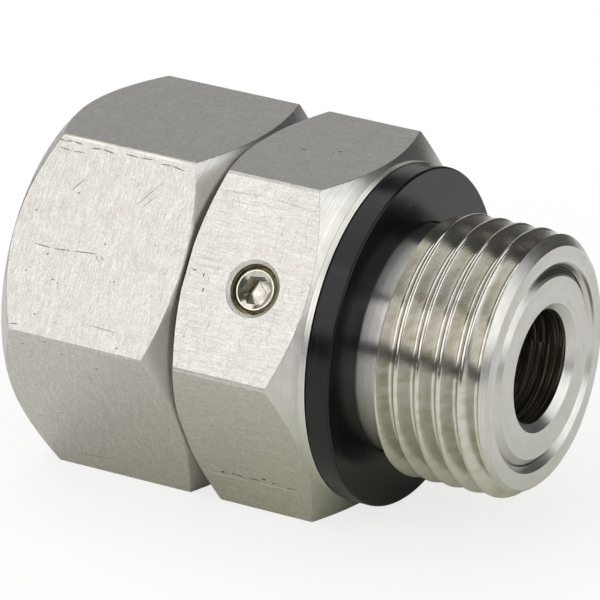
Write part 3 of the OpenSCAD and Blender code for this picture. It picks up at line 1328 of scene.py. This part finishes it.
@dataclass
class SetScrew:
    """The set screw that closes the filling hole, with its rolled thread and its socket."""

    finishes: Finishes
    hole: FillingHole
    tip_r: float
    recess: float = 0.45
    crest_r: float = 2.0
    chamfer: float = 0.45
    rim_r: float = 1.45
    dish_slope: float = math.tan(math.radians(32))
    socket_af: float = 2.1
    socket_turn: float = -21.0
    socket_depth: float = 1.8
    punch_r: float = 0.9
    punch_point: float = 0.5

    def build(self) -> Piece:
        """Makes the piece that stands for the CAD node."""
        finish = self.finishes.screw
        end = self.hole.flat - self.recess
        floor = end - self.socket_depth
        dish_end = end - self.dish_slope * (self.rim_r - self.socket_af / 2)
        outline = [
            (self.tip_r, 0),
            (self.tip_r, self.crest_r - self.chamfer),
            (self.tip_r + self.chamfer, self.crest_r),
            (end - self.chamfer, self.crest_r),
            (end, self.crest_r - self.chamfer),
            (end, self.rim_r),
            (dish_end, self.socket_af / 2),
            (dish_end, 0),
        ]
        piece = turn("ball_plug_dressed", outline, finish, SMALL_STEPS)
        thread = replace(self.hole.thread, crest_r=self.crest_r)
        use_tool(piece, thread.rod("screw thread", self.tip_r - PAST, end + PAST, finish), Cut.KEEP_COMMON)
        socket = prism("socket", (floor, end + PAST), self.socket_af, self.socket_turn, finish)
        use_tool(piece, socket, Cut.REMOVE)
        punched = [(floor - self.punch_point, 0), (floor, self.punch_r)]
        punched += [(floor + PAST, self.punch_r), (floor + PAST, 0)]
        use_tool(piece, turn("punch point", punched, finish, SMALL_STEPS), Cut.REMOVE)
        self.hole.stand(piece)
        smooth(piece)
        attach(piece, "housing_body")
        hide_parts("ball_plug")
        return piece


@dataclass
class PortSeal:
    """The black ring on the shoulder, with rounded edges."""

    finishes: Finishes
    inner_r: float = 8.9
    edge: float = 0.2
    edge_segments: int = 4

    def build(self) -> Piece:
        """Makes the piece that stands for the CAD node."""
        start, end = span("port_seal")
        outer_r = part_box("port_seal")[1].z / MM
        corners = [
            (start + self.edge, self.inner_r + self.edge, 180),
            (end - self.edge, self.inner_r + self.edge, 270),
            (end - self.edge, outer_r - self.edge, 0),
            (start + self.edge, outer_r - self.edge, 90),
        ]
        outline: list[Point] = []
        for x, radius, turned_by in corners:
            outline += arc((x, radius), self.edge, turned_by, turned_by + 90, self.edge_segments)
        piece = turn("port_seal_dressed", [*outline, outline[0]], self.finishes.seal_ring)
        smooth(piece)
        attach(piece, "housing_body")
        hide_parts("port_seal")
        return piece


@dataclass
class Housing:
    """The front hexagon with its shoulder, neck and threaded stud, all from one bar."""

    finishes: Finishes
    race: Race
    hole: FillingHole
    hexagon: Hexagon = Hexagon("housing", CornerCone(13.6, 1.15), CornerCone(13.2, 1.65, 0.5), 0.3)
    thread: RoundedThread = RoundedThread(10.32, crest_x=1.482)
    neck_r: float = 8.85
    neck_len: float = 3.6
    neck_taper: float = 0.22
    lead_len: float = 0.8
    end_chamfer_len: float = 1.0
    end_chamfer_drop: float = 0.93
    bore_r: float = 7.7
    bore_rear_chamfer: float = 0.4
    bore_mouth_chamfer: float = 0.45

    def stud(self, end_x: float) -> Piece:
        """Makes the neck and the threaded stud as one solid.

        Args:
            end_x: Place of the stud's end face.

        Returns:
            The closed shape.
        """
        crest_r = self.thread.crest_r
        outline = [
            (self.neck_len - self.lead_len, 0),
            (self.neck_len - self.lead_len, 2 * self.neck_r - crest_r),
            (self.neck_len + self.lead_len, crest_r),
            (end_x - self.end_chamfer_len, crest_r),
            (end_x, crest_r - self.end_chamfer_drop),
            (end_x, 0),
        ]
        body = turn("stud", outline, self.finishes.turned)
        rod = self.thread.rod("stud thread", -2 * PAST, end_x + PAST, self.finishes.thread)
        use_tool(body, rod, Cut.KEEP_COMMON)
        thin_r = self.neck_r - self.neck_taper
        bare_x = span("port_seal")[1]
        thin_x = self.neck_len - self.lead_len * self.neck_taper / (crest_r - self.neck_r)
        neck = [(-PAST, 0), (-PAST, self.neck_r), (bare_x, self.neck_r)]
        neck += [(thin_x, thin_r), (self.neck_len, thin_r), (self.neck_len, 0)]
        use_tool(body, turn("neck", neck, self.finishes.neck), Cut.JOIN)
        return body

    def bore(self, rear_x: float, end_x: float) -> Piece:
        """Makes the shape of the bore, with its race groove and both mouth chamfers.

        Args:
            rear_x: Place of the hexagon's rear face.
            end_x: Place of the stud's end face.

        Returns:
            The closed shape.
        """
        outline = [
            (rear_x - PAST, 0),
            (rear_x - PAST, self.bore_r + self.bore_rear_chamfer + PAST),
            (rear_x + self.bore_rear_chamfer, self.bore_r),
            *self.race.groove(self.bore_r, inwards=False),
            (end_x - self.bore_mouth_chamfer, self.bore_r),
            (end_x + PAST, self.bore_r + self.bore_mouth_chamfer + PAST),
            (end_x + PAST, 0),
        ]
        return turn("swivel bore", outline, self.finishes.turned)

    def build(self) -> Piece:
        """Makes the piece that stands for the CAD node."""
        rear_x, end_x = span("housing")
        piece = self.hexagon.make(rear_x, 0, self.finishes.housing_flats, self.finishes.turned)
        use_tool(piece, self.stud(end_x), Cut.JOIN)
        use_tool(piece, self.bore(rear_x, end_x), Cut.REMOVE)
        use_tool(piece, self.hole.tapping(self.race.centre_r, self.finishes.tapped), Cut.REMOVE)
        use_tool(piece, self.hole.countersink(self.finishes.countersunk), Cut.REMOVE)
        smooth(piece)
        piece.name = "housing_dressed"
        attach(piece, "housing_body")
        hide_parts("housing")
        return piece


@dataclass
class Spindle:
    """The rear hexagon with its tapped port and the hollow stem, all from one bar."""

    finishes: Finishes
    race: Race
    hexagon: Hexagon = Hexagon("spindle", CornerCone(13.4, 2.05), CornerCone(13.17, 1.4), 0.14)
    gap: float = 0.5
    visible_gap: float = 0.25
    stem_r: float = 7.64
    root_relief_depth: float = 0.3
    root_relief_len: float = 0.75
    groove_play: float = 0.05
    dust_groove_r: float = 6.45
    seal_groove_r: float = 6.25
    nose_chamfer: float = 0.57
    flow_r: float = 4.45
    flow_chamfer: float = 0.57
    port_thread: RoundedThread = RoundedThread(10.4775)
    port_r: float = 9.3155
    port_mouth_r: float = 10.7
    port_floor_setback: float = 2.5
    port_runout: float = 1.8
    drill_slope: float = 1 / math.tan(math.radians(59))

    def gland(self, first: str, last: str, floor_r: float) -> list[Point]:
        """Gives the groove round one or more seal rings, from -X to +X.

        Args:
            first: Node of the ring nearest to -X.
            last: Node of the ring nearest to +X.
            floor_r: Radius of the groove's floor.

        Returns:
            The points as (x, radius).
        """
        start = span(first)[0] - self.groove_play
        end = span(last)[1] + self.groove_play
        return [(start, self.stem_r), (start, floor_r), (end, floor_r), (end, self.stem_r)]

    def stem(self, front_x: float, end_x: float) -> Piece:
        """Makes the stem with its root relief, seal grooves and race groove.

        Args:
            front_x: Place of the hexagon's front face.
            end_x: Place of the nose's end face.

        Returns:
            The closed shape.
        """
        relief_r = self.stem_r - self.root_relief_depth
        relief_end_x = front_x + self.root_relief_len
        outline = [
            (front_x - PAST, 0),
            (front_x - PAST, relief_r),
            (relief_end_x, relief_r),
            (relief_end_x, self.stem_r),
            *self.gland("dust_o_ring", "dust_o_ring", self.dust_groove_r),
            *self.race.groove(self.stem_r, inwards=True),
            *self.gland("backup_ring_rear", "backup_ring_front", self.seal_groove_r),
            (end_x - self.nose_chamfer, self.stem_r),
            (end_x, self.stem_r - self.nose_chamfer),
            (end_x, 0),
        ]
        return turn("stem", outline, self.finishes.turned)

    def port(self, rear_x: float, floor_x: float) -> Piece:
        """Makes the shape of the tapped port.

        Args:
            rear_x: Place of the port's end face.
            floor_x: Place where the full bore ends.

        Returns:
            The closed shape.
        """
        outline = [
            (rear_x - PAST, 0),
            (rear_x - PAST, self.port_mouth_r + PAST),
            (rear_x + self.port_mouth_r - self.port_r, self.port_r),
            (floor_x, self.port_r),
            (floor_x + self.drill_slope * self.port_r, 0),
        ]
        shape = turn("port", outline, self.finishes.turned)
        tap = self.port_thread.rod("port tap", rear_x, floor_x - self.port_runout, self.finishes.thread)
        use_tool(shape, tap, Cut.JOIN)
        return shape

    def flow_bore(self, floor_x: float, end_x: float) -> Piece:
        """Makes the shape of the drilled bore.

        Args:
            floor_x: Place where it starts.
            end_x: Place of the nose's end face.

        Returns:
            The closed shape.
        """
        mouth_x = end_x - self.flow_chamfer
        outline = [(floor_x, 0), (floor_x, self.flow_r), (mouth_x, self.flow_r), (mouth_x, 0)]
        return turn("flow bore", outline, self.finishes.bore)

    def flow_mouth(self, end_x: float) -> Piece:
        """Makes the shape of the chamfer at the bore's mouth.

        Args:
            end_x: Place of the nose's end face.

        Returns:
            The closed shape.
        """
        mouth = (end_x + PAST, self.flow_r + self.flow_chamfer + PAST)
        return turn("flow mouth", [(mouth[0] - mouth[1], 0), mouth, (mouth[0], 0)], self.finishes.turned)

    def build(self) -> Piece:
        """Makes the piece that stands for the CAD node."""
        rear_x, end_x = span("spindle")
        housing_x = span("housing")[0]
        front_x = housing_x - self.gap
        floor_x = front_x - self.port_floor_setback
        hexagon_end = housing_x - self.visible_gap
        piece = self.hexagon.make(rear_x, hexagon_end, self.finishes.spindle_flats, self.finishes.turned)
        use_tool(piece, self.stem(front_x, end_x), Cut.JOIN)
        use_tool(piece, self.port(rear_x, floor_x), Cut.REMOVE)
        use_tool(piece, self.flow_bore(floor_x, end_x), Cut.REMOVE)
        use_tool(piece, self.flow_mouth(end_x), Cut.REMOVE)
        smooth(piece)
        piece.name = "spindle_dressed"
        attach(piece, "spindle_body")
        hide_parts("spindle")
        return piece


@dataclass(frozen=True)
class SoftBox:
    """A lamp with a soft, even face.

    Attributes:
        name: Name of the lamp.
        towards: Direction from the joint to the lamp.
        size: Width and height of its face.
        radiance: How bright its face looks; 1 is white.
        colour: Its colour.
    """

    name: str
    towards: Extent
    size: Point
    radiance: float
    colour: str = "#ffffff"

    def hang(self, distance: float) -> None:
        """Hangs it so that it faces the joint.

        Args:
            distance: Distance from the joint.
        """
        direction = Vector(self.towards).normalized()
        data = bpy.data.lights.new(self.name, "AREA")
        data.shape = "RECTANGLE"
        data.size = self.size[0] * MM
        data.size_y = self.size[1] * MM
        data.energy = self.radiance * math.pi * data.size * data.size_y
        data.color = linear(self.colour)[:3]
        lamp = bpy.data.objects.new(self.name, data)
        bpy.context.scene.collection.objects.link(lamp)
        lamp.rotation_euler = direction.to_track_quat("Z", "Y").to_euler()
        lamp.location = direction * distance * MM


@dataclass
class Studio:
    """Camera, floor, lamps and surroundings.

    Attributes:
        fade_from: Distance in metres at which the paper begins to fade, and at which it is white.
        fade_share: How much white the camera sees at these two.
        painted_shade_from: Distance in metres at which the paper begins to take the darker, greenish tone
            painted near the joint as shade under it, and has it.
        room_fill: Light from all sides.
        room_mirrored: How bright the metal mirrors the room between the lamps.
    """

    focal_length: float = 403.97
    sensor: float = 36.0
    azimuth: float = 29.214
    elevation: float = 21.671
    roll: float = 1.511
    distance: float = 515.273
    target: Extent = (-7.939, 0.0, 0.867)
    floor_z: float = -13.5
    floor_size: float = 620.0
    fade_from: Point = (0.025, 0.075)
    fade_share: Point = (0.78, 1.0)
    painted_shade_from: Point = (0.03, 0.012)
    paper: str = "#f4f4f2"
    # Darker, greenish paper near the joint: painted shade under it, which the lower flats mirror.
    paper_painted_shade: str = "#e0e2d2"
    room_fill: float = 0.38
    room_mirrored: float = 0.08
    lamp_distance: float = 600.0
    lamps: tuple[SoftBox, ...] = (
        SoftBox("key soft box", (-0.25, -0.812, 0.527), (760, 450), 1.76, "#fffdfe"),
        SoftBox("top soft box", (-0.25, -0.005, 0.968), (760, 420), 1.5),
        SoftBox("side soft box", (0.89, 0.037, 0.454), (760, 415), 1.7),
        SoftBox("back soft box", (-0.5, 0.8, 0.3), (520, 260), 0.57),
    )

    def camera(self) -> None:
        """Places the camera as the photograph's."""
        azimuth, elevation, roll = (math.radians(a) for a in (self.azimuth, self.elevation, self.roll))
        reach = math.cos(elevation)
        back = Vector((math.sin(azimuth) * reach, -math.cos(azimuth) * reach, math.sin(elevation)))
        level_right = Vector((math.cos(azimuth), math.sin(azimuth), 0))
        level_up = back.cross(level_right)
        right = math.cos(roll) * level_right + math.sin(roll) * level_up
        up = math.cos(roll) * level_up - math.sin(roll) * level_right
        place = (Vector(self.target) + back * self.distance) * MM
        data = bpy.data.cameras.new("camera")
        data.lens = self.focal_length
        data.sensor_width = self.sensor
        data.clip_start = 0.01
        data.clip_end = 20.0
        camera = bpy.data.objects.new("camera", data)
        bpy.context.scene.collection.objects.link(camera)
        camera.matrix_world = Matrix.Translation(place) @ Matrix((right, up, back)).transposed().to_4x4()
        bpy.context.scene.camera = camera

    def floor(self) -> None:
        """Lays a plain pale floor that fades into the white surroundings and keeps the joint's shadow; near
        the joint its paper is painted darker and greenish, as painted shade under the joint that the lower
        flats mirror.
        """
        bpy.ops.mesh.primitive_plane_add(size=self.floor_size * MM, location=(0, 0, self.floor_z * MM))
        floor = bpy.context.object
        floor.name = "floor"
        material = bpy.data.materials.new("floor_paper")
        material.use_nodes = True
        tree = material.node_tree
        tree.nodes.clear()
        place = add_node(tree, "ShaderNodeTexCoord").outputs["Object"]
        distance = add_node(tree, "ShaderNodeVectorMath", {0: place}, operation="LENGTH").outputs["Value"]
        fading = dict(zip(("From Min", "From Max", "To Min", "To Max"), self.fade_from + self.fade_share))
        fade = add_node(tree, "ShaderNodeMapRange", {"Value": distance, **fading}, clamp=True)
        paths = add_node(tree, "ShaderNodeLightPath").outputs
        views = {0: paths["Is Camera Ray"], 1: paths["Is Transmission Ray"]}
        seen = add_node(tree, "ShaderNodeMath", views, operation="MAXIMUM")
        factors = {0: seen.outputs[0], 1: fade.outputs[0]}
        share = add_node(tree, "ShaderNodeMath", factors, operation="MULTIPLY")
        # The paper turns darker and greenish near the joint: painted shade under it.
        nearing = {"Value": distance, "From Min": self.painted_shade_from[0], "From Max": self.painted_shade_from[1]}
        near = add_node(tree, "ShaderNodeMapRange", nearing, clamp=True)
        tones = {0: near.outputs["Result"], 6: linear(self.paper), 7: linear(self.paper_painted_shade)}
        colour = add_node(tree, "ShaderNodeMix", tones, data_type="RGBA")
        paper = add_node(tree, "ShaderNodeBsdfDiffuse", {"Color": colour.outputs[2]})
        glow = add_node(tree, "ShaderNodeEmission", {"Color": WHITE, "Strength": 1.0})
        sides = {0: share.outputs[0], 1: paper.outputs[0], 2: glow.outputs[0]}
        both = add_node(tree, "ShaderNodeMixShader", sides)
        add_node(tree, "ShaderNodeOutputMaterial", {"Surface": both.outputs[0]})
        floor.data.materials.append(material)

    def surroundings(self) -> None:
        """Sets a white backdrop, and a dark room round it for what the metal mirrors."""
        world = bpy.data.worlds.new("studio")
        bpy.context.scene.world = world
        world.use_nodes = True
        tree = world.node_tree
        tree.nodes.clear()
        paths = add_node(tree, "ShaderNodeLightPath").outputs
        views = {0: paths["Is Glossy Ray"], 1: paths["Is Transmission Ray"]}
        mirrored = add_node(tree, "ShaderNodeMath", views, operation="MAXIMUM")
        levels = {0: mirrored.outputs[0], 2: self.room_fill, 3: self.room_mirrored}
        room = add_node(tree, "ShaderNodeMix", levels, data_type="FLOAT")
        levels = {0: paths["Is Camera Ray"], 2: room.outputs[0], 3: 1.0}
        strength = add_node(tree, "ShaderNodeMix", levels, data_type="FLOAT")
        light = {"Color": WHITE, "Strength": strength.outputs[0]}
        background = add_node(tree, "ShaderNodeBackground", light)
        add_node(tree, "ShaderNodeOutputWorld", {"Surface": background.outputs[0]})

    def build(self) -> None:
        """Sets up the whole studio."""
        bpy.context.scene.view_settings.view_transform = "Standard"
        self.camera()
        self.floor()
        self.surroundings()
        for lamp in self.lamps:
            lamp.hang(self.lamp_distance)


def dress_hidden_pieces(finishes: Finishes) -> None:
    """Gives the balls, the O-rings and the backup rings their finishes.

    Args:
        finishes: The materials.
    """
    for name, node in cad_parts.items():
        if name.endswith("o_ring"):
            node.material_slots[0].material = finishes.rubber
        elif name.startswith("backup_ring"):
            node.material_slots[0].material = finishes.ptfe
        elif name.removeprefix("ball_").isdigit():
            node.material_slots[0].material = finishes.balls


def main() -> None:
    """Builds the studio and every piece in order."""
    logging.basicConfig(level=logging.INFO, format="%(message)s")
    Studio().build()
    finishes = Finishes()
    race = Race()
    hole = FillingHole(race.x)
    makers = (
        Housing(finishes, race, hole),
        SetScrew(finishes, hole, tip_r=race.centre_r + race.groove_r),
        PortSeal(finishes),
        Spindle(finishes, race),
    )
    for maker in makers:
        piece = maker.build()
        log.info("%s: %d faces", piece.name, len(piece.data.polygons))
    dress_hidden_pieces(finishes)


if __name__ == "__main__":
    main()
